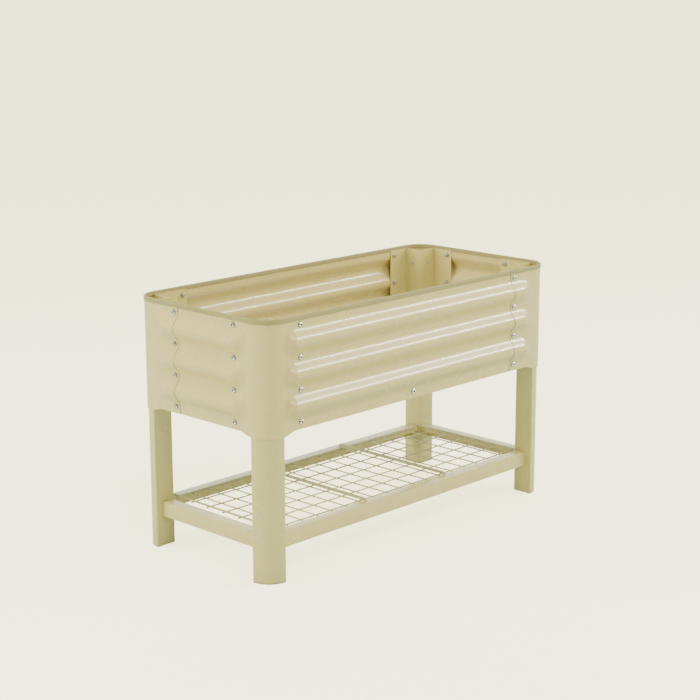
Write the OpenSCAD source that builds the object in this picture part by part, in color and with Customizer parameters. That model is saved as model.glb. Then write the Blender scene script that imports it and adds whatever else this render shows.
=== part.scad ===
// Raised planter on legs: a corrugated sheet-metal bed on four quarter-round
// legs, with a wire storage shelf low down between the legs.
// Units are millimetres, +Z is up, +X runs along the length and +Y points to
// the back. The origin is on the floor under the centre of the planter.
// The planter is the same seen from the front and from the back: everything
// repeats when it is turned half a turn about the vertical axis.

/* [Overall] */

// Length over the flat faces of the bed, without the ribs
body_l = 1020; // [980:10:1100]
// Width over the flat faces of the bed, without the ribs
body_w = 457; // [440:1:520]
// Height of the bottom edge of the bed above the floor
bed_z = 359; // [300:1:420]
// Outer radius of the four upright corners
corner_r = 56.5; // [54:0.5:57]

/* [Corrugated sheet] */

// Thickness of the bed sheets
sheet_t = 1.2; // [1:0.1:1.3]
// Spacing of the ribs, the same as the spacing of the bolt rows
rib_pitch = 76; // [74:1:76]
// How far a rib stands out from the flat face
rib_depth = 18; // [12:1:20]
// Distance from a folded corner to the centre of the rounded rib ends
cap_folded = 94; // [94:0.5:96]
// Distance from a corner panel's corner to the centre of its rib ends
cap_corner = 106; // [102:1:108]
// Distance from a folded corner to its bolt column
bolt_folded = 107; // [105:1:110]
// Distance from a corner panel's corner to its bolt column
bolt_corner = 145; // [143:1:146]
// Distance of the single middle bolt from the centre of a long side
bolt_mid = 20.6; // [18:0.2:22]
// How far the corner skirts hang below the bed's bottom edge
skirt_drop = 10; // [6:1:12]

/* [Rim] */

// Height of the edging strip on the rim
trim_h = 11; // [10:1:13]
// How far the edging strip stands out from the flat face
trim_out = 3; // [2.8:0.1:3.4]

/* [Legs and shelf] */

// Wall thickness of the legs
leg_t = 1.5; // [1.2:0.1:2]
// Height of the top face of the shelf rails
rail_z = 115; // [90:1:160]
// Height of the outer wall of a shelf rail
rail_h = 37; // [34:1:40]
// Width of the top face of a shelf rail
rail_w = 32; // [31:1:33]
// How far the rails sit in from the flat face of the bed
rail_in = 19.5; // [19:0.5:20]
// Diameter of the shelf's mesh wires
wire_d = 3.4; // [2.8:0.1:3.6]
// Diameter of the two thick shelf bars
bar_d = 8; // [7:0.5:9]

/* [Hidden] */

$fn = 64;

t = sheet_t;
rows = [for (i = [0:3]) bed_z + 17.6 + i * rib_pitch];
crests = [for (i = [0:2]) rows[i] + rib_pitch / 2];
rib_r = rib_pitch / 2 - 1;      // half width of a rib and radius of its end
rib_n = 20;                     // steps across a rib
rim_z = rows[3] + 22.4;         // top of the edging strip
sheet_top = rim_z - 2;          // top edge of the sheets
skirt_z = bed_z - skirt_drop;
lap_end = 130;                  // where a folded panel ends under a corner panel
seam_at = 158;                  // where a corner panel's free edge lies
skirt_a = 55;                   // skirt is full depth up to here
skirt_b = 87;                   // skirt has run out here

leg_out = t + 0.2;              // leg's outer surface in from the flat face
leg_z0 = 3;                     // legs stand on the 3 mm foot caps
leg_top = rim_z - 27;
brk_z0 = rows[0] + 24;
brk_z1 = rows[3] + 14;
brk_t = 2;

ledge_t = 2;
ledge_z = bed_z + 3;            // underside of the ledges
floor_z = ledge_z + ledge_t;    // underside of the floor panels
floor_t = 1.2;

end_rod_x = 443;
wire_step = 49.2;
wire_z = rail_z - 0.5;          // axis of the long mesh wires
cross_z = wire_z - wire_d + 0.3;

function bump(r) = r >= rib_r ? 0 : rib_depth / 2 * (1 + cos(180 * r / rib_r));

// outline of the corrugated sheet in section: [outward, height]
rib_pts = [for (c = crests) for (k = [0:rib_n])
           let (z = c - rib_r + 2 * rib_r * k / rib_n) [bump(abs(z - c)), z]];
wave_out = concat([[0, skirt_z]], rib_pts, [[0, sheet_top]]);
wave_pts = concat(wave_out,
                  [for (k = [len(wave_out) - 1:-1:0]) [wave_out[k][0] - t, wave_out[k][1]]]);

// ---------------------------------------------------------------- placement

// corner frame: x runs along the long face, y along the short face, both
// counted inward from the flat faces of the bed
module at_fl() { translate([-body_l / 2, -body_w / 2, 0]) children(); }
module at_fr() { translate([body_l / 2, -body_w / 2, 0]) mirror([1, 0, 0]) children(); }
module at_rr() { rotate([0, 0, 180]) at_fl() children(); }
module at_rl() { rotate([0, 0, 180]) at_fr() children(); }

// the same thing on the short face of a corner frame
module swap() { mirror([1, -1, 0]) children(); }

// ------------------------------------------------------------- bed sheets

// straight corrugated sheet along x, its flat outer face on y = -out
module wave_run(s0, s1, out) {
    translate([s0, -out, 0]) rotate([90, 0, 90])
        linear_extrude(height = s1 - s0)
            mirror([1, 0, 0]) polygon(wave_pts);
}

// rounded end of one rib, a half dome of sheet on the corner side of x = s
module wave_cap(s, z, out) {
    pts = [for (k = [0:rib_n / 2]) let (r = 2 * rib_r * k / rib_n) [r, bump(r)]];
    translate([s, -out, z]) rotate([90, 0, 0]) rotate([0, 0, 90])
        rotate_extrude(angle = 180)
            polygon(concat(pts, [for (k = [rib_n / 2:-1:0]) [pts[k][0], pts[k][1] - t]]));
}

// one wall from the corner bend to x = s1, ribs starting at x = cap
module wall(cap, s1, out) {
    difference() {
        translate([corner_r, -out, skirt_z]) cube([cap - corner_r, t, sheet_top - skirt_z]);
        for (z = crests) translate([cap, -out - 1, z]) rotate([-90, 0, 0])
            cylinder(r = rib_r, h = t + 2);
    }
    for (z = crests) wave_cap(cap, z, out);
    wave_run(cap, s1, out);
}

// quarter bend at the corner
module bend(out) {
    translate([corner_r, corner_r, skirt_z]) linear_extrude(height = sheet_top - skirt_z)
        intersection() {
            difference() { circle(r = corner_r + out); circle(r = corner_r + out - t); }
            translate([-2 * corner_r, -2 * corner_r]) square(2 * corner_r);
        }
}

// takes away the sheet below the bed's bottom edge, leaving the skirt
module skirt_cut(s1) {
    translate([0, 10, 0]) rotate([90, 0, 0]) linear_extrude(height = 20)
        polygon([[skirt_a, skirt_z - 1], [skirt_a, skirt_z], [skirt_b, bed_z],
                 [s1, bed_z], [s1, skirt_z - 1]]);
}

module hole_row(s, rs) {
    for (z = rs) translate([s, 10, z]) rotate([90, 0, 0]) cylinder(d = 7, h = 20);
}

// sheet with a folded corner and two corrugated walls
module folded_panel() {
    at_fl() difference() {
        union() {
            wall(cap_folded, body_l - lap_end, 0);
            swap() wall(cap_folded, body_w - lap_end, 0);
            bend(0);
        }
        skirt_cut(body_l);
        swap() skirt_cut(body_w);
        hole_row(bolt_folded, rows);
        hole_row(body_l - bolt_corner, rows);
        hole_row(body_l / 2 - bolt_mid, [rows[0]]);
        swap() { hole_row(bolt_folded, rows); hole_row(body_w - bolt_corner, rows); }
    }
}

// small corner sheet that laps over the ends of the folded sheets
module corner_panel() {
    at_fr() difference() {
        union() {
            wall(cap_corner, seam_at, t);
            swap() wall(cap_corner, seam_at, t);
            bend(t);
        }
        skirt_cut(200);
        swap() skirt_cut(200);
        hole_row(bolt_corner, rows);
        swap() hole_row(bolt_corner, rows);
    }
}

module front_left_panel() color([0.80, 0.76, 0.62]) folded_panel();
module rear_right_panel() color([0.80, 0.76, 0.62]) rotate([0, 0, 180]) folded_panel();
module front_right_corner_panel() color([0.78, 0.74, 0.60]) corner_panel();
module rear_left_corner_panel() color([0.78, 0.74, 0.60]) rotate([0, 0, 180]) corner_panel();

// ------------------------------------------------------------- rim edging

// section of the edging strip: [out from the flat face, height]
module trim_section() {
    difference() {
        union() {
            translate([-trim_out, rim_z - trim_h]) square([2 * trim_out, trim_h - trim_out]);
            translate([0, rim_z - trim_out]) circle(r = trim_out, $fn = 32);
        }
        translate([-t - 0.1, rim_z - trim_h - 1]) square([2 * t + 0.2, trim_h - 1]);
    }
}

module trim_run(a, b) {
    translate([a, 0, 0]) rotate([90, 0, 90]) linear_extrude(height = b - a)
        mirror([1, 0, 0]) trim_section();
}

module trim_bend() {
    translate([corner_r, corner_r, 0]) rotate([0, 0, 180]) rotate_extrude(angle = 90)
        translate([corner_r, 0]) trim_section();
}

// half of the strip: one long side and two half short sides
module trim_half() {
    at_fl() {
        trim_run(corner_r, body_l - corner_r);
        trim_bend();
        swap() trim_run(corner_r, body_w / 2 - 0.2);
    }
    at_fr() {
        trim_bend();
        swap() trim_run(corner_r, body_w / 2 - 0.2);
    }
}

module rim_trim_front() color([0.70, 0.66, 0.51]) trim_half();
module rim_trim_rear() color([0.70, 0.66, 0.51]) rotate([0, 0, 180]) trim_half();

// ------------------------------------------------------------------- legs

// heights of the screws that hold the bracket and the rail ends
leg_brk_z = [rows[1], rows[3] - 25];
leg_rail_z = [rail_z - 25, rail_z - 9];

module quarter(r, e) {
    translate([corner_r, corner_r]) intersection() {
        circle(r = r);
        translate([-2 * r, -2 * r]) square(2 * r - e);
    }
}

module leg() {
    difference() {
        translate([0, 0, leg_z0]) linear_extrude(height = leg_top - leg_z0) difference() {
            quarter(corner_r - leg_out, 0);
            quarter(corner_r - leg_out - leg_t, leg_t);
        }
        leg_screw_holes();
        swap() leg_screw_holes();
    }
}

module leg_screw_holes() {
    for (z = leg_brk_z) translate([corner_r - 5, 30, z]) rotate([0, 90, 0]) cylinder(d = 4.4, h = 10, $fn = 24);
    for (z = leg_rail_z) translate([corner_r - 5, 35, z]) rotate([0, 90, 0]) cylinder(d = 4.4, h = 10, $fn = 24);
}

module foot_cap() {
    linear_extrude(height = leg_z0) quarter(corner_r - leg_out, 0);
    translate([0, 0, leg_z0 - 0.5]) linear_extrude(height = 15)
        quarter(corner_r - leg_out - leg_t - 0.3, leg_t + 0.3);
}

module leg_front_left() color([0.80, 0.76, 0.62]) at_fl() leg();
module leg_front_right() color([0.80, 0.76, 0.62]) at_fr() leg();
module leg_rear_right() color([0.80, 0.76, 0.62]) at_rr() leg();
module leg_rear_left() color([0.80, 0.76, 0.62]) at_rl() leg();
module foot_cap_front_left() color([0.30, 0.29, 0.25]) at_fl() foot_cap();
module foot_cap_front_right() color([0.30, 0.29, 0.25]) at_fr() foot_cap();
module foot_cap_rear_right() color([0.30, 0.29, 0.25]) at_rr() foot_cap();
module foot_cap_rear_left() color([0.30, 0.29, 0.25]) at_rl() foot_cap();

// strap inside the bed that clamps a leg into its corner
module leg_bracket(col) {
    e = col + 14;
    b = corner_r + 0.1;
    difference() {
        translate([0, 0, brk_z0]) linear_extrude(height = brk_z1 - brk_z0) {
            translate([b, t]) square([e - b, brk_t]);
            translate([b, t]) square([brk_t, b + brk_t - t]);
            translate([t, b]) square([b + brk_t - t, brk_t]);
            translate([t, b]) square([brk_t, e - b]);
        }
        bracket_holes(col);
        swap() bracket_holes(col);
    }
}

module bracket_holes(col) {
    for (i = [1:3]) translate([col, -5, rows[i]]) rotate([-90, 0, 0]) cylinder(d = 7, h = 20, $fn = 32);
    for (z = leg_brk_z) translate([corner_r - 5, 30, z]) rotate([0, 90, 0]) cylinder(d = 4.4, h = 10, $fn = 24);
}

module leg_bracket_front_left() color([0.80, 0.76, 0.62]) at_fl() leg_bracket(bolt_folded);
module leg_bracket_front_right() color([0.80, 0.76, 0.62]) at_fr() leg_bracket(bolt_corner);
module leg_bracket_rear_right() color([0.80, 0.76, 0.62]) at_rr() leg_bracket(bolt_folded);
module leg_bracket_rear_left() color([0.80, 0.76, 0.62]) at_rl() leg_bracket(bolt_corner);

// ------------------------------------------------------------ floor of the bed

ledge_gap = corner_r + 2;
ledge_up = 26;
ledge_in = 25;

// angle under the floor along a long face (corner frame of the front left)
module ledge(len, holes) {
    difference() {
        translate([ledge_gap, t, ledge_z]) union() {
            cube([len - 2 * ledge_gap, ledge_in, ledge_t]);
            cube([len - 2 * ledge_gap, ledge_t, ledge_up]);
        }
        for (s = holes) translate([s, -5, rows[0]]) rotate([-90, 0, 0]) cylinder(d = 7, h = 20, $fn = 32);
    }
}

module ledge_long() { at_fl() ledge(body_l, [bolt_folded, body_l - bolt_corner, body_l / 2 - bolt_mid]); }
module ledge_short() { at_fl() swap() ledge(body_w, [bolt_folded, body_w - bolt_corner]); }

module floor_ledge_front() color([0.72, 0.73, 0.72]) ledge_long();
module floor_ledge_rear() color([0.72, 0.73, 0.72]) rotate([0, 0, 180]) ledge_long();
module floor_ledge_left() color([0.72, 0.73, 0.72]) ledge_short();
module floor_ledge_right() color([0.72, 0.73, 0.72]) rotate([0, 0, 180]) ledge_short();

brace_w = 60;
brace_v0 = t + ledge_in + 0.3;   // where the brace steps up over the ledge

// half of the brace, front end
module brace_half() {
    y0 = -body_w / 2;
    // span between the ledges
    translate([-brace_w / 2, y0 + brace_v0, ledge_z]) cube([brace_w, body_w / 2 - brace_v0, 2]);
    for (x = [-brace_w / 2, brace_w / 2 - 1.5])
        translate([x, y0 + brace_v0, ledge_z - 10]) cube([1.5, body_w / 2 - brace_v0, 10.5]);
    // step over the ledge, and the tab that the middle bolt holds
    translate([-brace_w / 2, y0 + t + ledge_t, floor_z]) cube([brace_w, brace_v0 - t - ledge_t + 2, 2]);
    difference() {
        translate([-brace_w / 2, y0 + t + ledge_t, floor_z]) cube([brace_w, 2, ledge_up - ledge_t]);
        translate([-bolt_mid, y0, rows[0]]) rotate([-90, 0, 0]) cylinder(d = 7, h = 20, $fn = 32);
    }
}

module floor_cross_brace() color([0.70, 0.71, 0.70]) {
    brace_half();
    rotate([0, 0, 180]) brace_half();
    // the middle of the bar, shared by both halves
    translate([-brace_w / 2, -5, ledge_z]) cube([brace_w, 10, 2]);
}

// left half of the floor with drain holes
module floor_half() {
    e = t + ledge_t + 0.3;
    n = corner_r + 4;
    difference() {
        translate([-body_l / 2 + e, -body_w / 2 + e, floor_z])
            cube([body_l / 2 - e - 0.3, body_w - 2 * e, floor_t]);
        for (s = [-1, 1]) {
            translate([-body_l / 2 + n / 2, s * (body_w / 2 - n / 2), floor_z])
                cube([n, n, 10], center = true);
            translate([0, s * (body_w / 2 - 16), floor_z])
                cube([brace_w + 1, 33, 10], center = true);
        }
        for (i = [0:3], j = [-1:1])
            translate([-body_l / 2 + 115 + i * 95, j * 115, floor_z - 1]) cylinder(d = 10, h = 4, $fn = 32);
    }
}

module floor_panel_left() color([0.76, 0.77, 0.76]) floor_half();
module floor_panel_right() color([0.76, 0.77, 0.76]) rotate([0, 0, 180]) floor_half();

// -------------------------------------------------------------- bolts

// panel bolts of the front and left walls: [s, row, proud of the flat face]
front_bolts = concat([for (i = [0:3]) [bolt_folded, i, 0]],
                     [for (i = [0:3]) [body_l - bolt_corner, i, t]]);
left_bolts = concat([for (i = [0:3]) [bolt_folded, i, 0]],
                    [for (i = [0:3]) [body_w - bolt_corner, i, t]]);

module bolt(out, grip) {
    translate([0, -out, 0]) rotate([-90, 0, 0]) difference() {
        union() {
            translate([0, 0, -1]) cylinder(d = 14, h = 1, $fn = 32);
            translate([0, 0, -1]) intersection() {
                translate([0, 0, 3.28]) sphere(r = 7.28, $fn = 32);
                translate([0, 0, -5]) cylinder(d = 13, h = 5, $fn = 32);
            }
            cylinder(d = 6, h = out + grip + 8, $fn = 24);
        }
        // hexagon socket, 4 mm across flats
        translate([0, 0, -6]) cylinder(d = 4.62, h = 3.4, $fn = 6);
    }
}

module washer(grip) {
    translate([0, grip, 0]) rotate([-90, 0, 0]) difference() {
        cylinder(d = 13, h = 1, $fn = 32);
        translate([0, 0, -1]) cylinder(d = 6.2, h = 3, $fn = 24);
    }
}

module nut(grip) {
    translate([0, grip + 1, 0]) rotate([-90, 0, 0]) difference() {
        cylinder(d = 11.5, h = 5, $fn = 6);
        translate([0, 0, -1]) cylinder(d = 6.1, h = 7, $fn = 24);
    }
}

grip0 = t + 2;

module half_set(kind) {
    at_fl() {
        for (b = front_bolts) translate([b[0], 0, rows[b[1]]]) one(kind, b[2], grip0);
        translate([body_l / 2 - bolt_mid, 0, rows[0]]) one(kind, 0, grip0 + 2);
        swap() for (b = left_bolts) translate([b[0], 0, rows[b[1]]]) one(kind, b[2], grip0);
    }
}

module one(kind, out, grip) {
    if (kind == 0) bolt(out, grip);
    if (kind == 1) washer(grip);
    if (kind == 2) nut(grip);
}

module panel_bolts() color([0.80, 0.80, 0.80]) { half_set(0); rotate([0, 0, 180]) half_set(0); }
module panel_washers() color([0.72, 0.72, 0.72]) { half_set(1); rotate([0, 0, 180]) half_set(1); }
module panel_nuts() color([0.72, 0.72, 0.72]) { half_set(2); rotate([0, 0, 180]) half_set(2); }

// screws into the legs: through the bracket and through the rail-end angles
module screw(g) {
    rotate([0, 90, 0]) {
        translate([0, 0, g]) cylinder(d = 8, h = 2, $fn = 24);
        translate([0, 0, -6]) cylinder(d = 4, h = 6.5 + g, $fn = 24);
    }
}

module corner_screws() {
    for (z = leg_brk_z) translate([corner_r, 30, z]) screw(0.1 + brk_t);
    for (z = leg_rail_z) translate([corner_r, 35, z]) screw(0.1 + 1.5);
}

module leg_screws() color([0.70, 0.70, 0.70]) {
    at_fl() { corner_screws(); swap() corner_screws(); }
    at_fr() { corner_screws(); swap() corner_screws(); }
    at_rr() { corner_screws(); swap() corner_screws(); }
    at_rl() { corner_screws(); swap() corner_screws(); }
}

// ------------------------------------------------------------ shelf rails

rail_t = 1.5;
lip_h = 16;

module rail(len) {
    translate([corner_r + 0.3, 0, 0]) rotate([90, 0, 90])
        linear_extrude(height = len - 2 * corner_r - 0.6)
            translate([rail_in, rail_z])
                polygon([[0, 0], [0, -rail_h], [rail_t, -rail_h], [rail_t, -rail_t],
                         [rail_w - rail_t, -rail_t], [rail_w - rail_t, -lip_h],
                         [rail_w, -lip_h], [rail_w, 0]]);
}

module shelf_rail_front() color([0.78, 0.76, 0.66]) at_fl() rail(body_l);
module shelf_rail_rear() color([0.78, 0.76, 0.66]) at_rr() rail(body_l);
module shelf_rail_left() color([0.78, 0.76, 0.66]) at_fl() swap() rail(body_w);
module shelf_rail_right() color([0.78, 0.76, 0.66]) at_rr() swap() rail(body_w);

// angle inside the end of a rail, screwed to the flat face of the leg
module rail_bracket() {
    difference() {
        translate([corner_r + 0.1, rail_in + rail_t, rail_z - 33]) union() {
            cube([1.5, 24, 30]);
            cube([26, 1.5, 30]);
        }
        for (z = leg_rail_z) translate([corner_r - 5, 35, z]) rotate([0, 90, 0]) cylinder(d = 4.4, h = 10, $fn = 24);
    }
}

module rail_bracket_front_a() color([0.78, 0.76, 0.66]) at_fl() rail_bracket();
module rail_bracket_front_b() color([0.78, 0.76, 0.66]) at_fr() rail_bracket();
module rail_bracket_rear_a() color([0.78, 0.76, 0.66]) at_rr() rail_bracket();
module rail_bracket_rear_b() color([0.78, 0.76, 0.66]) at_rl() rail_bracket();
module rail_bracket_left_a() color([0.78, 0.76, 0.66]) at_fl() swap() rail_bracket();
module rail_bracket_left_b() color([0.78, 0.76, 0.66]) at_rl() swap() rail_bracket();
module rail_bracket_right_a() color([0.78, 0.76, 0.66]) at_rr() swap() rail_bracket();
module rail_bracket_right_b() color([0.78, 0.76, 0.66]) at_fr() swap() rail_bracket();

// ----------------------------------------------------------- shelf wires

shelf_y = body_w / 2 - rail_in - rail_w - 6.5;   // long edge rods
rod_tip = body_w / 2 - rail_in - 26;             // where the end rods turn down
bar_tip = body_w / 2 - rail_in - 21;             // where the thick bars turn down
tops = wire_z + wire_d / 2;                      // the bars lie on the long wires

// round rod along y over the rails, both tips bent down onto the rail tops
module tipped_rod(x, d, zc, ytip) {
    r = zc - rail_z;
    translate([x, -ytip + r, zc]) rotate([-90, 0, 0]) cylinder(d = d, h = 2 * (ytip - r), $fn = 24);
    for (s = [0, 180]) rotate([0, 0, s])
        translate([s == 0 ? x : -x, ytip - r, rail_z]) rotate([90, 0, 90])
            rotate_extrude(angle = 90) translate([r, 0]) circle(d = d, $fn = 24);
}

module shelf_mesh() color([0.72, 0.69, 0.55]) {
    // long wires, and the short stubs past the end rods
    for (y = [-2:2]) translate([-end_rod_x - 5, y * 56.8, wire_z]) rotate([0, 90, 0])
        cylinder(d = wire_d, h = 2 * end_rod_x + 10, $fn = 24);
    for (s = [-1, 1]) translate([-end_rod_x - 3, s * shelf_y, tops - 2]) rotate([0, 90, 0])
        cylinder(d = 4, h = 2 * end_rod_x + 6, $fn = 24);
    // short wires underneath
    for (k = [-8:8]) translate([k * wire_step, -shelf_y - 1, cross_z]) rotate([-90, 0, 0])
        cylinder(d = wire_d, h = 2 * shelf_y + 2, $fn = 24);
    // end rods that carry the mesh on the rails
    for (s = [-1, 1]) tipped_rod(s * end_rod_x, 5, tops + 2.2, rod_tip);
}

module shelf_cross_bar_left() color([0.72, 0.69, 0.55])
    tipped_rod(-3 * wire_step, bar_d, tops + bar_d / 2, bar_tip);
module shelf_cross_bar_right() color([0.72, 0.69, 0.55])
    tipped_rod(3 * wire_step, bar_d, tops + bar_d / 2, bar_tip);

// ---------------------------------------------------------------- drawing

front_left_panel();
rear_right_panel();
front_right_corner_panel();
rear_left_corner_panel();
leg_front_left();
leg_front_right();
leg_rear_right();
leg_rear_left();
foot_cap_front_left();
foot_cap_front_right();
foot_cap_rear_right();
foot_cap_rear_left();
leg_bracket_front_left();
leg_bracket_front_right();
leg_bracket_rear_right();
leg_bracket_rear_left();
rim_trim_front();
rim_trim_rear();
floor_ledge_front();
floor_ledge_rear();
floor_ledge_left();
floor_ledge_right();
floor_cross_brace();
floor_panel_left();
floor_panel_right();
panel_bolts();
panel_washers();
panel_nuts();
leg_screws();
shelf_rail_front();
shelf_rail_rear();
shelf_rail_left();
shelf_rail_right();
rail_bracket_front_a();
rail_bracket_front_b();
rail_bracket_rear_a();
rail_bracket_rear_b();
rail_bracket_left_a();
rail_bracket_left_b();
rail_bracket_right_a();
rail_bracket_right_b();
shelf_mesh();
shelf_cross_bar_left();
shelf_cross_bar_right();
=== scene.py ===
import math
import random

import bmesh
import bpy
from mathutils import Matrix, Vector


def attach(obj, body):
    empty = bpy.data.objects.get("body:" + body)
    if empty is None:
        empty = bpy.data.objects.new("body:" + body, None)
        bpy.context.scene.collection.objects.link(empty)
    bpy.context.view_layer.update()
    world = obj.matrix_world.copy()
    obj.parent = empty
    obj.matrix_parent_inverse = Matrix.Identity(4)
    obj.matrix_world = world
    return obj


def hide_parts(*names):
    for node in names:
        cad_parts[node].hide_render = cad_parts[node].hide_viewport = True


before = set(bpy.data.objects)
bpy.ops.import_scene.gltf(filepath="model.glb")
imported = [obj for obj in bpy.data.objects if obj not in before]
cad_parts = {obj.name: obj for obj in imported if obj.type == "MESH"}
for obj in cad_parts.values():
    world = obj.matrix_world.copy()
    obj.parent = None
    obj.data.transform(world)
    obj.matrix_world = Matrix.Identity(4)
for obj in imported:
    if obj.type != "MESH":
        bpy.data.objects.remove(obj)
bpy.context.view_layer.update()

rng = random.Random(7)
MM = 0.001

# ---------------------------------------------------------------- sizes (mm), the CAD's own

L, W = 1020.0, 457.0
BED_Z, PITCH, DEPTH, T = 359.0, 76.0, 18.0, 1.2
R = 56.5
ROWS = [BED_Z + 17.6 + i * PITCH for i in range(4)]
CRESTS = [r + PITCH / 2 for r in ROWS[:3]]
RIB_R = PITCH / 2 - 1
RIM_Z = ROWS[3] + 22.4
SHEET_TOP = RIM_Z - 2
SKIRT_Z = BED_Z - 10
# where a rib starts to fade out and over what length, per kind of corner
CAP_F, CAP_SIDE, CAP_C = 80.5, 104.0, 126.0
FRONT_ROUND = 23.0
BOLT_F, BOLT_C, BOLT_M = 107.0, 145.0, 20.6
LAP_END, SEAM_AT = 130.0, 158.0
LEG_OUT, LEG_T = T + 0.2, 1.5
LEG_Z0, LEG_TOP = 3.0, RIM_Z - 27
RAIL_Z, RAIL_H, RAIL_W, RAIL_IN, RAIL_T, LIP = 115.0, 37.0, 32.0, 19.5, 1.5, 16.0
TRIM_H, TRIM_OUT = 11.0, 3.0


# ---------------------------------------------------------------- mesh helpers

def new_piece(name, verts, faces, slot, replaces=(), smooth=True, mats=None):
    """A mesh piece in millimetres that rides on the planter's one body."""
    me = bpy.data.meshes.new(name)
    me.from_pydata([(x * MM, y * MM, z * MM) for x, y, z in verts], [], faces)
    me.validate()
    me.update()
    for p in me.polygons:
        p.use_smooth = smooth
    ob = bpy.data.objects.new(name, me)
    bpy.context.scene.collection.objects.link(ob)
    ob.data.materials.append(mats or MAT[slot])
    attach(ob, "root")
    if replaces:
        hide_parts(*replaces)
    return ob


def recalc(ob):
    bm = bmesh.new()
    bm.from_mesh(ob.data)
    bmesh.ops.recalc_face_normals(bm, faces=bm.faces)
    bm.to_mesh(ob.data)
    bm.free()
    ob.data.update()


def bevel(ob, width, segments=2, angle=40.0):
    m = ob.modifiers.new("bevel", "BEVEL")
    m.width = width * MM
    m.segments = segments
    m.limit_method = "ANGLE"
    m.angle_limit = math.radians(angle)
    m.harden_normals = False
    m.use_clamp_overlap = True
    return m


def sharp_by_angle(ob, angle=35.0):
    """Smooth shading with sharp edges past an angle, stored in the mesh itself."""
    me = ob.data
    bm = bmesh.new()
    bm.from_mesh(me)
    lim = math.radians(angle)
    for e in bm.edges:
        if len(e.link_faces) == 2:
            e.smooth = e.calc_face_angle(0.0) < lim
        else:
            e.smooth = False
    bm.to_mesh(me)
    bm.free()
    for p in me.polygons:
        p.use_smooth = True


class Build:
    """Collects vertices and faces of one piece."""

    def __init__(self):
        self.v, self.f = [], []

    def add(self, verts, faces):
        n = len(self.v)
        self.v += [tuple(p) for p in verts]
        self.f += [tuple(i + n for i in f) for f in faces]

    def grid(self, rows, closed_u=False, closed_v=False, flip=False):
        """rows: list of equally long point lists, joined by quads."""
        nu, nv = len(rows), len(rows[0])
        faces = []
        for i in range(nu if closed_u else nu - 1):
            for j in range(nv if closed_v else nv - 1):
                a, b = i * nv + j, ((i + 1) % nu) * nv + j
                c, d = ((i + 1) % nu) * nv + (j + 1) % nv, i * nv + (j + 1) % nv
                faces.append((a, d, c, b) if flip else (a, b, c, d))
        self.add([p for r in rows for p in r], faces)


# ---------------------------------------------------------------- materials

def srgb(r, g, b):
    def f(c):
        c /= 255.0
        return c / 12.92 if c <= 0.04045 else ((c + 0.055) / 1.055) ** 2.4
    return (f(r), f(g), f(b), 1.0)


def base_material(name):
    m = bpy.data.materials.new(name)
    m.use_nodes = True
    nt = m.node_tree
    return m, nt, nt.nodes["Principled BSDF"]


def node(nt, kind, **inputs):
    n = nt.nodes.new(kind)
    for k, v in inputs.items():
        n.inputs[k].default_value = v
    return n


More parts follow.
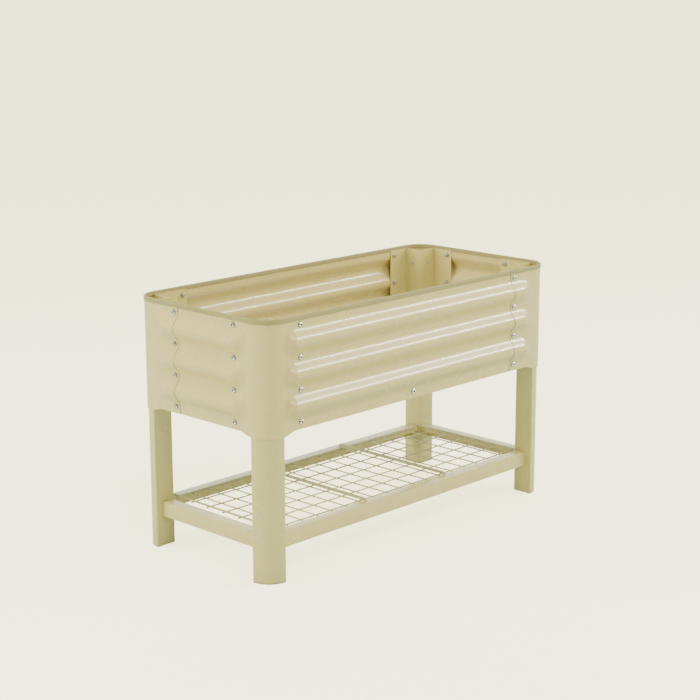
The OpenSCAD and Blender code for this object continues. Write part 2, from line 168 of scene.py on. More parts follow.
def paint(name, rgb, rough=0.27, peel=0.07, spread=0.024, low_darkening=0.0, coat=0.30, clear=0.11):
    """Powder coat: faint tone drift, orange-peel bump, fine dust in the roughness."""
    m, nt, bsdf = base_material(name)
    tc = nt.nodes.new("ShaderNodeTexCoord")
    lk = nt.links.new
    big = node(nt, "ShaderNodeTexNoise", Scale=6.0, Detail=3.0, Roughness=0.55)
    lk(tc.outputs["Object"], big.inputs["Vector"])
    fine = node(nt, "ShaderNodeTexNoise", Scale=220.0, Detail=2.0, Roughness=0.6)
    lk(tc.outputs["Object"], fine.inputs["Vector"])
    ramp = nt.nodes.new("ShaderNodeMix")
    ramp.data_type = "RGBA"
    dark = tuple(c * (1 - spread) for c in rgb[:3]) + (1.0,)
    lite = tuple(min(1.0, c * (1 + spread)) for c in rgb[:3]) + (1.0,)
    ramp.inputs["A"].default_value = dark
    ramp.inputs["B"].default_value = lite
    lk(big.outputs["Fac"], ramp.inputs["Factor"])
    speck = nt.nodes.new("ShaderNodeMix")
    speck.data_type = "RGBA"
    speck.blend_type = "MULTIPLY"
    speck.inputs["Factor"].default_value = 0.06
    lk(ramp.outputs["Result"], speck.inputs["A"])
    lk(fine.outputs["Fac"], speck.inputs["B"])
    last = speck.outputs["Result"]
    if low_darkening > 0:
        # darker in noisy patches towards the ground, fading out by 5 cm up
        sep = nt.nodes.new("ShaderNodeSeparateXYZ")
        lk(tc.outputs["Object"], sep.inputs["Vector"])
        fall = nt.nodes.new("ShaderNodeMapRange")
        fall.inputs["From Min"].default_value = 0.0
        fall.inputs["From Max"].default_value = 0.05
        fall.inputs["To Min"].default_value = low_darkening
        fall.inputs["To Max"].default_value = 0.0
        lk(sep.outputs["Z"], fall.inputs["Value"])
        patch = node(nt, "ShaderNodeTexNoise", Scale=45.0, Detail=4.0, Roughness=0.65)
        lk(tc.outputs["Object"], patch.inputs["Vector"])
        mul = nt.nodes.new("ShaderNodeMath")
        mul.operation = "MULTIPLY"
        lk(fall.outputs["Result"], mul.inputs[0])
        lk(patch.outputs["Fac"], mul.inputs[1])
        mixd = nt.nodes.new("ShaderNodeMix")
        mixd.data_type = "RGBA"
        lk(mul.outputs["Value"], mixd.inputs["Factor"])
        lk(last, mixd.inputs["A"])
        mixd.inputs["B"].default_value = srgb(120, 105, 80)
        last = mixd.outputs["Result"]
    # bare metal along the cut ends of the sheets, painted darker as the shade in the seams; the same mask paints
    # shade on the short rails' inner sides
    cut = nt.nodes.new("ShaderNodeAttribute")
    cut.attribute_name = "cut_edge_and_shade"
    bare_and_shade = nt.nodes.new("ShaderNodeMix")
    bare_and_shade.data_type = "RGBA"
    lk(cut.outputs["Fac"], bare_and_shade.inputs["Factor"])
    lk(last, bare_and_shade.inputs["A"])
    bare_and_shade.inputs["B"].default_value = (0.16, 0.145, 0.095, 1)
    last = bare_and_shade.outputs["Result"]
    lk(last, bsdf.inputs["Base Color"])
    rr = nt.nodes.new("ShaderNodeMapRange")
    rr.inputs["To Min"].default_value = rough - 0.03
    rr.inputs["To Max"].default_value = rough + 0.03
    smudge = node(nt, "ShaderNodeTexNoise", Scale=18.0, Detail=5.0, Roughness=0.6)
    lk(tc.outputs["Object"], smudge.inputs["Vector"])
    lk(smudge.outputs["Fac"], rr.inputs["Value"])
    lk(rr.outputs["Result"], bsdf.inputs["Roughness"])
    bump = nt.nodes.new("ShaderNodeBump")
    bump.inputs["Strength"].default_value = peel
    bump.inputs["Distance"].default_value = 0.0003
    orange = node(nt, "ShaderNodeTexNoise", Scale=420.0, Detail=1.0, Roughness=0.5)
    lk(tc.outputs["Object"], orange.inputs["Vector"])
    lk(orange.outputs["Fac"], bump.inputs["Height"])
    lk(bump.outputs["Normal"], bsdf.inputs["Normal"])
    bsdf.inputs["Metallic"].default_value = 0.0
    bsdf.inputs["Coat Weight"].default_value = coat
    bsdf.inputs["Coat Roughness"].default_value = clear
    return m


def zinc(name):
    """Galvanised steel: soft spangle, uneven grey, slightly scuffed."""
    m, nt, bsdf = base_material(name)
    lk = nt.links.new
    tc = nt.nodes.new("ShaderNodeTexCoord")
    sp = node(nt, "ShaderNodeTexVoronoi", Scale=110.0)
    lk(tc.outputs["Object"], sp.inputs["Vector"])
    bw = nt.nodes.new("ShaderNodeSeparateColor")
    lk(sp.outputs["Color"], bw.inputs["Color"])
    mix = nt.nodes.new("ShaderNodeMix")
    mix.data_type = "RGBA"
    mix.inputs["A"].default_value = (0.46, 0.47, 0.48, 1)
    mix.inputs["B"].default_value = (0.60, 0.61, 0.62, 1)
    lk(bw.outputs["Red"], mix.inputs["Factor"])
    lk(mix.outputs["Result"], bsdf.inputs["Base Color"])
    rr = nt.nodes.new("ShaderNodeMapRange")
    rr.inputs["To Min"].default_value = 0.34
    rr.inputs["To Max"].default_value = 0.52
    cl = node(nt, "ShaderNodeTexNoise", Scale=35.0, Detail=5.0, Roughness=0.6)
    lk(tc.outputs["Object"], cl.inputs["Vector"])
    lk(cl.outputs["Fac"], rr.inputs["Value"])
    lk(rr.outputs["Result"], bsdf.inputs["Roughness"])
    bump = nt.nodes.new("ShaderNodeBump")
    bump.inputs["Strength"].default_value = 0.08
    bump.inputs["Distance"].default_value = 0.0002
    lk(cl.outputs["Fac"], bump.inputs["Height"])
    lk(bump.outputs["Normal"], bsdf.inputs["Normal"])
    bsdf.inputs["Metallic"].default_value = 0.85
    return m


def chrome(name):
    m, nt, bsdf = base_material(name)
    lk = nt.links.new
    tc = nt.nodes.new("ShaderNodeTexCoord")
    cl = node(nt, "ShaderNodeTexNoise", Scale=260.0, Detail=3.0, Roughness=0.55)
    lk(tc.outputs["Object"], cl.inputs["Vector"])
    mix = nt.nodes.new("ShaderNodeMix")
    mix.data_type = "RGBA"
    mix.inputs["A"].default_value = (0.88, 0.88, 0.88, 1)
    mix.inputs["B"].default_value = (0.97, 0.97, 0.98, 1)
    lk(cl.outputs["Fac"], mix.inputs["Factor"])
    # painted shade around the foot of the dome and down in the hex socket, stored per vertex
    rim = nt.nodes.new("ShaderNodeAttribute")
    rim.attribute_name = "edge_shade"
    painted_shade = nt.nodes.new("ShaderNodeMix")
    painted_shade.data_type = "RGBA"
    lk(rim.outputs["Fac"], painted_shade.inputs["Factor"])
    lk(mix.outputs["Result"], painted_shade.inputs["A"])
    painted_shade.inputs["B"].default_value = (0.075, 0.075, 0.08, 1)
    lk(painted_shade.outputs["Result"], bsdf.inputs["Base Color"])
    rr = nt.nodes.new("ShaderNodeMapRange")
    rr.inputs["To Min"].default_value = 0.06
    rr.inputs["To Max"].default_value = 0.14
    lk(cl.outputs["Fac"], rr.inputs["Value"])
    lk(rr.outputs["Result"], bsdf.inputs["Roughness"])
    bump = nt.nodes.new("ShaderNodeBump")
    bump.inputs["Strength"].default_value = 0.05
    bump.inputs["Distance"].default_value = 0.0001
    lk(cl.outputs["Fac"], bump.inputs["Height"])
    lk(bump.outputs["Normal"], bsdf.inputs["Normal"])
    bsdf.inputs["Metallic"].default_value = 1.0
    return m


def rubber(name, rgb, rough=0.55, spec=0.4):
    m, nt, bsdf = base_material(name)
    lk = nt.links.new
    tc = nt.nodes.new("ShaderNodeTexCoord")
    big = node(nt, "ShaderNodeTexNoise", Scale=14.0, Detail=4.0, Roughness=0.6)
    lk(tc.outputs["Object"], big.inputs["Vector"])
    mix = nt.nodes.new("ShaderNodeMix")
    mix.data_type = "RGBA"
    mix.inputs["A"].default_value = tuple(c * 0.94 for c in rgb[:3]) + (1.0,)
    mix.inputs["B"].default_value = tuple(min(1, c * 1.06) for c in rgb[:3]) + (1.0,)
    lk(big.outputs["Fac"], mix.inputs["Factor"])
    lk(mix.outputs["Result"], bsdf.inputs["Base Color"])
    rr = nt.nodes.new("ShaderNodeMapRange")
    rr.inputs["To Min"].default_value = rough - 0.06
    rr.inputs["To Max"].default_value = rough + 0.08
    lk(big.outputs["Fac"], rr.inputs["Value"])
    lk(rr.outputs["Result"], bsdf.inputs["Roughness"])
    grain = node(nt, "ShaderNodeTexNoise", Scale=900.0, Detail=2.0, Roughness=0.6)
    lk(tc.outputs["Object"], grain.inputs["Vector"])
    bump = nt.nodes.new("ShaderNodeBump")
    bump.inputs["Strength"].default_value = 0.12
    bump.inputs["Distance"].default_value = 0.0002
    lk(grain.outputs["Fac"], bump.inputs["Height"])
    lk(bump.outputs["Normal"], bsdf.inputs["Normal"])
    bsdf.inputs["Specular IOR Level"].default_value = spec
    return m


PAINT = (0.715, 0.578, 0.190, 1.0)
MAT = {
    "bed_paint": paint("bed_paint", PAINT),
    "leg_paint": paint("leg_paint", (0.675, 0.572, 0.180, 1.0), low_darkening=0.25),
    "rail_paint": paint("rail_paint", (0.715, 0.590, 0.192, 1.0)),
    # the wires wear the rails' paint, darkened as painted shade from the bed above
    "wire_paint": paint("wire_paint", (0.53, 0.475, 0.205, 1.0), rough=0.55, spread=0.04, coat=0.0),
    "rim_edging": rubber("rim_edging", (0.345, 0.290, 0.100, 1.0)),
    "bolt_chrome": chrome("bolt_chrome"),
    "zinc": zinc("zinc"),
    "foot_rubber": rubber("foot_rubber", srgb(142, 135, 98), rough=0.60),
}


# ---------------------------------------------------------------- bed sheets

def bump_at(r):
    return 0.0 if r >= RIB_R else DEPTH / 2 * (1 + math.cos(math.pi * r / RIB_R))


def out_at(s, z, cap):
    """How far the sheet stands out at distance s from the corner and height z."""
    r = min(abs(z - c) for c in CRESTS)
    best = bump_at(r)
    if cap == CAP_F:                 # the long walls' ribs end bluntly at their crests
        cap += FRONT_ROUND * min(r / RIB_R, 1.0) ** 2
    if s < cap:
        best *= 0.5 * (1 + math.cos(math.pi * min((cap - s) / (cap - R), 1.0)))
    return best


def bottom_at(s):
    if s <= 55:
        return SKIRT_Z
    if s >= 87:
        return BED_Z
    return SKIRT_Z + (BED_Z - SKIRT_Z) * (s - 55) / 32.0


def z_rows():
    z = [0.0, 0.25, 0.6]              # fractions of the flat strip below the ribs
    lower = ROWS[0] + 1
    ribs = []
    for c in CRESTS:
        n = 44
        ribs += [c - RIB_R + 2 * RIB_R * k / n for k in range(n + (1 if c == CRESTS[-1] else 0))]
        if c != CRESTS[-1]:
            ribs.append(c + RIB_R)
    upper = [RIM_Z - 14, SHEET_TOP]
    return z, lower, ribs, upper


def wall_samples(cap, end):
    """Distances from the corner where the sheet is sampled, from the bend outward."""
    fade = min(cap + 22.0, end - 2.0)
    m = round((fade - R) / 2)
    s = [R + (fade - R) * k / m for k in range(m + 1)]
    n = max(2, int((end - fade) / 24))
    s += [fade + (end - fade) * k / n for k in range(1, n + 1)]
    s += [x for x in (87.0,) if R < x < end]
    return sorted(set(round(x, 4) for x in s))


def panel_strip(cap, cap_y, end_x, end_y, out, corner):
    """Rows of points along a folded sheet, from the short wall's end round to the
    long wall's end, for the outer and the inner surface.
    corner: function taking (x, y) in the corner frame to the planter frame."""
    zf, lower, ribs, upper = z_rows()
    path = []      # (s on wall or None, wall, angle)
    for s in reversed(wall_samples(cap_y, end_y)):
        path.append(("y", s))
    for k in range(1, 16):
        path.append(("a", math.pi / 2 * k / 16))
    for s in wall_samples(cap, end_x):
        path.append(("x", s))
    outer, inner = [], []
    for kind, s in path:
        col_o, col_i = [], []
        ss = s if kind in "xy" else 0.0
        b = bottom_at(ss)
        zs = [b + (lower - b) * f for f in zf] + ribs + upper
        for z in zs:
            d = out_at(ss, z, cap_y if kind == "y" else cap) if kind in "xy" else 0.0
            for col, o in ((col_o, out + d), (col_i, out + d - T)):
                if kind == "x":
                    p = (s, -o)
                elif kind == "y":
                    p = (-o, s)
                else:
                    r = R + o
                    # from the short wall (pointing -x) round to the long wall (-y)
                    p = (R - r * math.cos(s), R - r * math.sin(s))
                q = corner(*p)
                col.append((q[0], q[1], z))
        outer.append(col_o)
        inner.append(col_i)
    return outer, inner


def sheet_solid(name, outer, inner, slot, node_name, mirrored):
    nu, nv = len(outer), len(outer[0])
    v = [p for c in outer for p in c] + [p for c in inner for p in c]
    off = nu * nv
    f = []
    for i in range(nu - 1):
        for j in range(nv - 1):
            a, b, c, d = i * nv + j, (i + 1) * nv + j, (i + 1) * nv + j + 1, i * nv + j + 1
            f.append((a, b, c, d))
            f.append((off + a, off + d, off + c, off + b))
    for i in range(nu - 1):      # bottom and top edges
        a, b = i * nv, (i + 1) * nv
        f.append((a, off + a, off + b, b))
        a, b = i * nv + nv - 1, (i + 1) * nv + nv - 1
        f.append((a, b, off + b, off + a))
    cut = len(f)
    for j in range(nv - 1):      # the two upright ends
        a, b = j, j + 1
        f.append((a, b, off + b, off + a))
        a, b = (nu - 1) * nv + j, (nu - 1) * nv + j + 1
        f.append((a, off + a, off + b, b))
    if mirrored:
        f = [tuple(reversed(q)) for q in f]
    ob = new_piece(name, v, f, slot, [node_name])
    # the upright cut ends get the dark colour, painted as the seam's shade
    edge = ob.data.attributes.new("cut_edge_and_shade", "FLOAT", "FACE")
    edge.data.foreach_set("value", [0.0] * cut + [1.0] * (len(f) - cut))
    recalc(ob)
    sharp_by_angle(ob, 50)
    bevel(ob, 0.22, 2, 50)
    return ob


def fl(x, y):
    return (-L / 2 + x, -W / 2 + y)


def rr(x, y):
    return (L / 2 - x, W / 2 - y)


def fr(x, y):
    return (L / 2 - x, -W / 2 + y)


def rl(x, y):
    return (-L / 2 + x, W / 2 - y)


for nm, place, mir in (("front_left_panel", fl, False), ("rear_right_panel", rr, False)):
    o, i = panel_strip(CAP_F, CAP_SIDE, L - LAP_END, W - LAP_END, 0.0, place)
    sheet_solid(nm + "_sheet", o, i, "bed_paint", nm, mir)
for nm, place, mir in (("front_right_corner_panel", fr, True), ("rear_left_corner_panel", rl, True)):
    o, i = panel_strip(CAP_C, CAP_C, SEAM_AT, SEAM_AT, T, place)
    sheet_solid(nm + "_sheet", o, i, "bed_paint", nm, mir)


# ---------------------------------------------------------------- profiles swept along paths

def fillet(points, radii, n=5):
    """Rounds the corners of a closed 2D outline."""
    out = []
    m = len(points)
    for k in range(m):
        p0, p1, p2 = (Vector(points[(k + d) % m]) for d in (-1, 0, 1))
        r = radii[k] if isinstance(radii, (list, tuple)) else radii
        a, b = (p0 - p1).normalized(), (p2 - p1).normalized()
        ang = a.angle(b)
        if r <= 0 or ang > math.pi - 1e-3:
            out.append(tuple(p1))
            continue
        t = min(r / math.tan(ang / 2), (p0 - p1).length * 0.49, (p2 - p1).length * 0.49)
        r = t * math.tan(ang / 2)
        bis = (a + b).normalized()
        c = p1 + bis * (r / math.sin(ang / 2))
        s, e = p1 + a * t - c, p1 + b * t - c
        for q in range(n + 1):
            w = q / n
            out.append(tuple(c + s.slerp(e, w)))
    return out


def extrude(name, outline, frames, slot, replaces, hole=None, sharp=40):
    """Sweeps a closed outline through frames; each frame turns a 2D point into 3D."""
    b = Build()
    rings = [[f(x, y) for x, y in outline] for f in frames]
    b.grid(rings, closed_v=True)
    n = len(outline)
    if hole is None:
        b.f.append(tuple(range(n)))
        b.f.append(tuple(reversed(range((len(frames) - 1) * n, len(frames) * n))))
    else:
        m = len(hole)
        base = len(b.v)
        b.grid([[f(x, y) for x, y in hole] for f in frames], closed_v=True, flip=True)
        assert m == n
        for start in (0, len(frames) - 1):
            for k in range(n):
                k2 = (k + 1) % n
                b.f.append((start * n + k, start * n + k2, base + start * n + k2, base + start * n + k))
    ob = new_piece(name, b.v, b.f, slot, replaces)
    recalc(ob)
    sharp_by_angle(ob, sharp)
    return ob


# rails: a folded channel with a short inner lip
def rail_outline():
    ro, ri = 2.2, 0.9
    pts = [(0, 0), (0, -RAIL_H), (RAIL_T, -RAIL_H), (RAIL_T, -RAIL_T),
           (RAIL_W - RAIL_T, -RAIL_T), (RAIL_W - RAIL_T, -LIP), (RAIL_W, -LIP), (RAIL_W, 0)]
    rad = [ro, 0.3, 0.3, ri, ri, 0.3, 0.3, ro]
    return [(RAIL_IN + x, RAIL_Z + y) for x, y in fillet(pts, rad, 5)]


RAIL = rail_outline()
for nm, place, swap, length in (
    ("shelf_rail_front", fl, False, L), ("shelf_rail_rear", rr, False, L),
    ("shelf_rail_left", fl, True, W), ("shelf_rail_right", rr, True, W),
):
    def frame_at(s, place=place, swap=swap):
        def f(x, z):
            p = place(x, s) if swap else place(s, x)
            return (p[0], p[1], z)
        return f
    e = R + 0.3
    n = 12
    frames = [frame_at(e + (length - 2 * e) * k / n) for k in range(n + 1)]
    rail = extrude(nm + "_channel", RAIL, frames, "rail_paint", [nm])
    if swap:                         # painted shade on the short rails' inner sides
        inner = rail.data.attributes.new("cut_edge_and_shade", "FLOAT", "FACE")
        inner.data.foreach_set("value", [0.22 if q.normal.x * q.center.x < -0.2 else 0.0
                                         for q in rail.data.polygons])


# legs: closed quarter-round tubes
def quarter_outline(r, e, edge, n_arc=28):
    """Counter-clockwise outline in the corner frame, arc facing the corner."""
    c = R
    pts = [(c - e, c - e)]
    # arc from the long wall's side to the short wall's side
    x1 = math.sqrt(max(r * r - e * e, 0.0))
    a0, a1 = math.atan2(-x1, -e), math.atan2(-e, -x1)
    arc = []
    if a0 > a1:
        a0, a1 = a1, a0
    a0 += 2 * math.pi if a0 < 0 else 0
    a1 += 2 * math.pi if a1 < 0 else 0
    a0, a1 = sorted((a0, a1))
    for k in range(n_arc + 1):
        a = a0 + (a1 - a0) * k / n_arc
        arc.append((c + r * math.cos(a), c + r * math.sin(a)))
    raw = pts + arc
    rad = [edge] + [edge] + [0] * (n_arc - 1) + [edge]
    return fillet(raw, rad, 4)


for nm, place in (("front_left", fl), ("front_right", fr), ("rear_right", rr), ("rear_left", rl)):
    r = R - LEG_OUT
    outline = quarter_outline(r, 0.0, 1.2)
    hole = quarter_outline(r - LEG_T, LEG_T, 0.6)
    hole = hole if len(hole) == len(outline) else None

    def at(z, place=place, grow=0.0):
        def f(x, y):
            p = place(x, y)
            return (p[0], p[1], z)
        return f
    zs = [LEG_Z0, LEG_Z0 + 40, BED_Z * 0.5, BED_Z, LEG_TOP]
    leg = extrude(f"leg_{nm}_tube", outline, [at(z) for z in zs], "leg_paint", [f"leg_{nm}"], hole=hole)

    # foot cap: rounded sole plus the plug that sits inside the tube
    b = Build()
    sole = []
    for z, inset in ((0.0, 1.0), (0.25, 0.45), (0.8, 0.1), (1.5, 0.0), (2.4, 0.05), (3.0, 0.25)):
        ring = quarter_outline(r - inset, inset, 1.4)
        sole.append([at(z)(x, y) for x, y in ring])
    b.grid(sole, closed_v=True)
    n = len(sole[0])
    b.f.append(tuple(reversed(range(n))))
    b.f.append(tuple(range(len(b.v) - n, len(b.v))))
    plug_ring = quarter_outline(r - LEG_T - 0.3, LEG_T + 0.3, 0.6)
    plug = [[at(z)(x, y) for x, y in plug_ring] for z in (2.7, 17.5)]
    base = len(b.v)
    b.grid(plug, closed_v=True)
    n = len(plug_ring)
    b.f.append(tuple(reversed(range(base, base + n))))
    b.f.append(tuple(range(base + n, base + 2 * n)))
    cap = new_piece(f"foot_cap_{nm}_moulding", b.v, b.f, "foot_rubber", [f"foot_cap_{nm}"])
    recalc(cap)
    sharp_by_angle(cap, 40)


# ---------------------------------------------------------------- rim edging

def trim_outline():
    t0, z0, z1 = TRIM_OUT, RIM_Z - TRIM_H, RIM_Z
    pts = []
    n = 10
    for k in range(n + 1):            # rounded top, from the outer side over to the inner side
        a = math.pi * k / n
        pts.append((t0 * math.cos(a), z1 - t0 + t0 * math.sin(a)))
    w = T + 0.1
    pts += [(-t0, z0 + 0.5), (-t0 + 0.5, z0), (-w - 0.3, z0), (-w, z0 + 0.3),
            (-w, z1 - 2.0), (w, z1 - 2.0), (w, z0 + 0.3), (w + 0.3, z0), (t0 - 0.5, z0), (t0, z0 + 0.5)]
    return pts


TRIM = trim_outline()


def trim_frames():
    """Frames along half of the rim: middle of the left side, front, middle of the right."""
    fr_list = []

    def add(cx, cy, a):
        ca, sa = math.cos(a), math.sin(a)

        def f(o, z, cx=cx, cy=cy, ca=ca, sa=sa):
            return (cx + o * ca, cy + o * sa, z)
        fr_list.append(f)
    y0, yc, xc = -0.2, -W / 2 + R, L / 2 - R
    for k in range(5):
        add(-L / 2, y0 + (yc - y0) * k / 4, math.pi)
    for k in range(1, 12):
        a = math.pi + math.pi / 2 * k / 12
        add(-xc + R * math.cos(a), yc + R * math.sin(a), a)
    for k in range(13):
        add(-xc + 2 * xc * k / 12, -W / 2, 1.5 * math.pi)
    for k in range(1, 12):
        a = 1.5 * math.pi + math.pi / 2 * k / 12
        add(xc + R * math.cos(a), yc + R * math.sin(a), a)
    for k in range(5):
        add(L / 2, yc + (y0 - yc) * k / 4, 0.0)
    return fr_list


FR = trim_frames()
extrude("rim_trim_front_strip", TRIM, FR, "rim_edging", ["rim_trim_front"], sharp=35)
extrude("rim_trim_rear_strip", TRIM, [(lambda o, z, f=f: (lambda p: (-p[0], -p[1], p[2]))(f(o, z))) for f in FR],
        "rim_edging", ["rim_trim_rear"], sharp=35)


# ---------------------------------------------------------------- fasteners

def lathe(b, centre, axis, profile, n=28, spin=0.0):
    """Adds a turned solid: profile is a list of (radius, along the axis), and a third
    value makes that ring a hexagon with the radius as half its width across flats."""
    ax = Vector(axis).normalized()
    u = ax.orthogonal().normalized()
    w = ax.cross(u)
    c = Vector(centre)
    rings = []
    for r, h, *hexed in profile:
        ring = []
        for k in range(n):
            a = 2 * math.pi * k / n
            q = r / math.cos(a % (math.pi / 3) - math.pi / 6) if hexed else r
            ring.append(tuple(c + ax * h + (u * math.cos(a + spin) + w * math.sin(a + spin)) * max(q, 1e-4)))
        rings.append(ring)
    base = len(b.v)
    b.grid(rings, closed_v=True)
    b.f.append(tuple(reversed(range(base, base + n))))
    b.f.append(tuple(range(base + (len(rings) - 1) * n, base + len(rings) * n)))


def bolt_places():
    """(centre on the flat face, outward direction, how proud the sheet is, grip)."""
    out = []
    for place, sgn in ((fl, 1), (rr, -1)):
        def d(x, y, sgn=sgn):
            return (x * sgn, y * sgn, 0)
        for i in range(4):
            out.append((place(BOLT_F, 0), d(0, -1), 0.0, T + 2, ROWS[i]))
            out.append((place(L - BOLT_C, 0), d(0, -1), T, T + 2, ROWS[i]))
            out.append((place(0, BOLT_F), d(-1, 0), 0.0, T + 2, ROWS[i]))
            out.append((place(0, W - BOLT_C), d(-1, 0), T, T + 2, ROWS[i]))
        out.append((place(L / 2 - BOLT_M, 0), d(0, -1), 0.0, T + 4, ROWS[0]))
    return out


BOLTS = bolt_places()
heads, washers, nuts = Build(), Build(), Build()
edge_shade = []
for (cx, cy), d, proud, grip, z in BOLTS:
    c = (cx, cy, z)
    head = [(7.0, proud), (7.0, proud + 0.7), (6.75, proud + 0.95)]
    for k in range(0, 7):
        a = math.pi / 2 * k / 9
        head.append((6.55 * math.cos(a), proud + 1.05 + 3.95 * math.sin(a)))
    head += [(2.85, proud + 4.62), (2.06, proud + 4.70, 1), (2.0, proud + 4.5, 1),
             (2.0, proud + 2.6, 1), (0.0, proud + 2.6)]
    shank = [(3.0, proud), (3.0, -grip - 7.4), (2.5, -grip - 8.0)]
    turned = [(0.0, -grip - 8.0)] + list(reversed(shank)) + head
    lathe(heads, c, d, turned, n=36, spin=rng.uniform(0, math.pi / 3))
    # painted shade: dark down in the hex socket and towards the foot of the dome
    for r, h, *hexed in turned:
        if h > proud + 0.1 and (hexed or r == 0.0):
            shade_amount = 1.0 if h < proud + 4.6 else 0.35
        else:
            shade_amount = min(max((r - 5.1) / 1.9, 0.0), 1.0) if h > proud + 0.1 else 0.3
        edge_shade += [shade_amount] * 36
    lathe(washers, c, d, [(3.1, -grip), (6.35, -grip), (6.5, -grip - 0.15), (6.5, -grip - 0.85),
                          (6.35, -grip - 1.0), (3.1, -grip - 1.0)], n=32)
    # hexagonal nut with turned chamfers
    ax = Vector(d).normalized()
    u, w = Vector((0, 0, 1)), ax.cross(Vector((0, 0, 1)))
    spin = rng.uniform(0, math.pi / 3)
    for rings in ([[(5.0, -grip - 1.0), (5.75, -grip - 1.5), (5.75, -grip - 5.5), (5.0, -grip - 6.0)]]):
        base = len(nuts.v)
        for r, h in rings:
            nuts.v += [tuple(Vector(c) + ax * h + (u * math.cos(a) + w * math.sin(a)) * r)
                       for a in (spin + math.pi / 3 * k for k in range(6))]
        for q in range(3):
            for k in range(6):
                k2 = (k + 1) % 6
                nuts.f.append((base + q * 6 + k, base + q * 6 + k2, base + q * 6 + 6 + k2, base + q * 6 + 6 + k))
        nuts.f.append(tuple(reversed(range(base, base + 6))))
        nuts.f.append(tuple(range(base + 18, base + 24)))
ob = new_piece("panel_bolts_domed", heads.v, heads.f, "bolt_chrome", ["panel_bolts"])
shade = ob.data.attributes.new("edge_shade", "FLOAT", "POINT")
assert len(edge_shade) == len(ob.data.vertices)
shade.data.foreach_set("value", edge_shade)
recalc(ob); sharp_by_angle(ob, 45)
ob = new_piece("panel_washers_flat", washers.v, washers.f, "zinc", ["panel_washers"])
recalc(ob); sharp_by_angle(ob, 30)
ob = new_piece("panel_nuts_hex", nuts.v, nuts.f, "zinc", ["panel_nuts"])
recalc(ob); sharp_by_angle(ob, 20); bevel(ob, 0.15, 2, 20)

screws = Build()
for place, mirror in ((fl, 1), (fr, 1), (rr, 1), (rl, 1)):
    for swap in (False, True):
        for z, y, g in ((ROWS[1], 30, 2.1), (ROWS[3] - 25, 30, 2.1), (RAIL_Z - 25, 35, 1.6), (RAIL_Z - 9, 35, 1.6)):
            a, e = ((y, R), (y, R + 1)) if swap else ((R, y), (R + 1, y))
            p, q = place(*a), place(*e)
            d = (q[0] - p[0], q[1] - p[1], 0)
            lathe(screws, (p[0], p[1], z), d,
                  [(0.0, -6.0), (1.2, -5.6), (2.0, -4.6), (2.0, g), (4.0, g), (4.0, g + 0.6), (3.6, g + 1.4),
                   (2.4, g + 1.9), (1.4, g + 2.0), (1.4, g + 1.2), (0.0, g + 1.2)], n=24)
ob = new_piece("leg_screws_pan", screws.v, screws.f, "zinc", ["leg_screws"])
recalc(ob); sharp_by_angle(ob, 35)


# ---------------------------------------------------------------- wire shelf

def sag(x, y):
    """The welded mesh hangs a little between its supports."""
    u = min(abs(x) / 443.0, 1.0)
    v = min(abs(y) / 171.0, 1.0)
    return -2.6 * (1 - u * u) * (1 - 0.35 * v * v)


def tube(b, pts, r, n=12):
    """Round wire through the points, ends slightly rounded."""
    P = [Vector(p) for p in pts]
    rings = []
    up = None
    for i, p in enumerate(P):
        t = (P[min(i + 1, len(P) - 1)] - P[max(i - 1, 0)]).normalized()
        if up is None:
            up = t.orthogonal().normalized()
        up = (up - t * up.dot(t)).normalized()
        w = t.cross(up)
        ring = lambda c, rad: [tuple(c + (up * math.cos(2 * math.pi * k / n) + w * math.sin(2 * math.pi * k / n)) * rad) for k in range(n)]
        if i == 0:
            rings.append(ring(p, r * 0.6))
            rings.append(ring(p + t * r * 0.15, r * 0.9))
            rings.append(ring(p + t * r * 0.4, r))
        elif i == len(P) - 1:
            rings.append(ring(p - t * r * 0.4, r))
            rings.append(ring(p - t * r * 0.15, r * 0.9))
            rings.append(ring(p, r * 0.6))
        else:
            rings.append(ring(p, r))
    base = len(b.v)
    b.grid(rings, closed_v=True)
    b.f.append(tuple(reversed(range(base, base + n))))
    b.f.append(tuple(range(base + (len(rings) - 1) * n, base + len(rings) * n)))


WIRE_Z = RAIL_Z - 0.5
WIRE_R, BAR_R = 1.7, 4.0
CROSS_Z = WIRE_Z - 2 * WIRE_R + 0.3
TOPS = WIRE_Z + WIRE_R
END_X, STEP = 443.0, 49.2
SHELF_Y = W / 2 - RAIL_IN - RAIL_W - 6.5
mesh = Build()
for iy in range(-2, 3):
    y = iy * 56.8
    tube(mesh, [(-448 + 896 * k / 40, y, WIRE_Z + sag(-448 + 896 * k / 40, y)) for k in range(41)], WIRE_R)
for s in (-1, 1):
    y = s * SHELF_Y
    tube(mesh, [(-446 + 892 * k / 40, y, TOPS - 2 + sag(-446 + 892 * k / 40, y)) for k in range(41)], 2.0)
for k in range(-8, 9):
    x = k * STEP
    e = SHELF_Y + 1
    tube(mesh, [(x, -e + 2 * e * q / 24, CROSS_Z + sag(x, -e + 2 * e * q / 24)) for q in range(25)], WIRE_R)


def tipped(x, zc, ytip):
    r = zc - RAIL_Z
    pts = []
    for k in range(7):
        a = math.pi / 2 * k / 6
        pts.append((x, -(ytip - r) - r * math.cos(a), RAIL_Z + r * math.sin(a)))
    n = 16
    for k in range(1, n):
        y = -(ytip - r) + 2 * (ytip - r) * k / n
        pts.append((x, y, zc))
    for k in range(7):
        a = math.pi / 2 * (1 - k / 6)
        pts.append((x, (ytip - r) + r * math.cos(a), RAIL_Z + r * math.sin(a)))
    return pts


ROD_TIP, BAR_TIP = W / 2 - RAIL_IN - 26, W / 2 - RAIL_IN - 21
for s in (-1, 1):
    tube(mesh, tipped(s * END_X, TOPS + 2.2, ROD_TIP), 2.5, 16)
